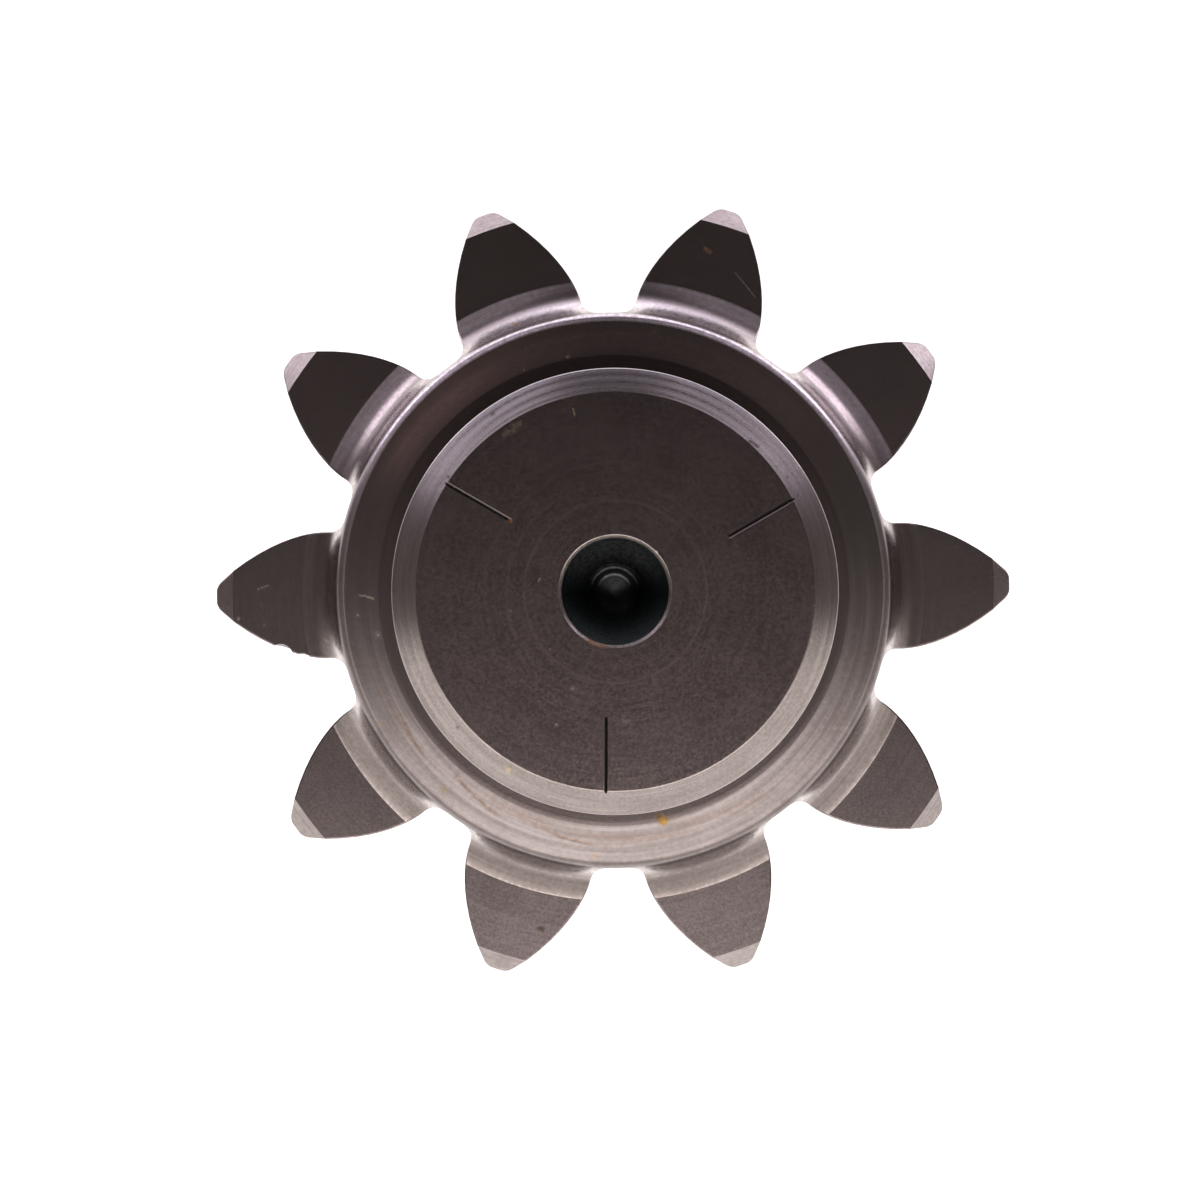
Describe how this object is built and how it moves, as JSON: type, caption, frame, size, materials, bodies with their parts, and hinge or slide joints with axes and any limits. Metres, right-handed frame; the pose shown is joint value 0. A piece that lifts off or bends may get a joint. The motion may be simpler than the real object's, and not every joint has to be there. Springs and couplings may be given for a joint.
{
  "type": "pinion shaft",
  "caption": "Solid pinion shaft with a stubby toothed section between journals, a nose with a centre hole and a splined drive end; drives a larger gear.",
  "frame": {"origin": "centre of the drive end's face, which the shaft stands on", "axes": "+Z along the shaft's axis from the drive end to the nose, +X through the middle of a tooth"},
  "size_m": [0.104, 0.0996, 0.23],
  "materials": {
    "steel": "dark machined steel with a thin film of oil"
  },
  "bodies": {
    "root": {"pinion_shaft": "steel"}
  },
  "joints": []
}
